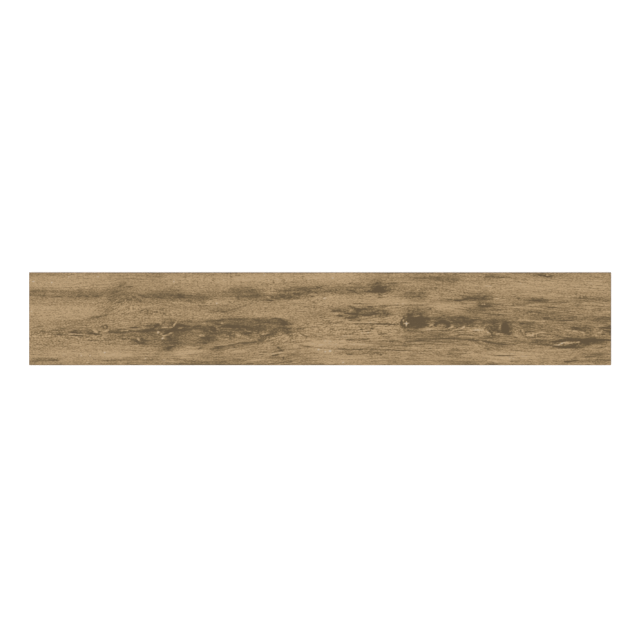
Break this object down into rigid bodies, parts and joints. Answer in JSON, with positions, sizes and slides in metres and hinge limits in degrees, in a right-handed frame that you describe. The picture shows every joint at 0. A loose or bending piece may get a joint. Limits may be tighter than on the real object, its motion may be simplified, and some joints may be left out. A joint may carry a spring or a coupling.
{
  "type": "wood look porcelain plank tile",
  "caption": "Long flat porcelain floor and wall tile, square ground edges with a fine arris, matt wood grain print on its face and a keyed back with shallow recesses.",
  "frame": {"origin": "centre of the back, on the plane that its ribs and ledge stand on", "axes": "+X along the plank, +Y across it, +Z out of the printed face"},
  "size_m": [1.19, 0.19, 0.0095],
  "materials": {
    "printed_porcelain": "matte"
  },
  "bodies": {
    "root": {"plank_tile": "printed_porcelain"}
  },
  "joints": []
}
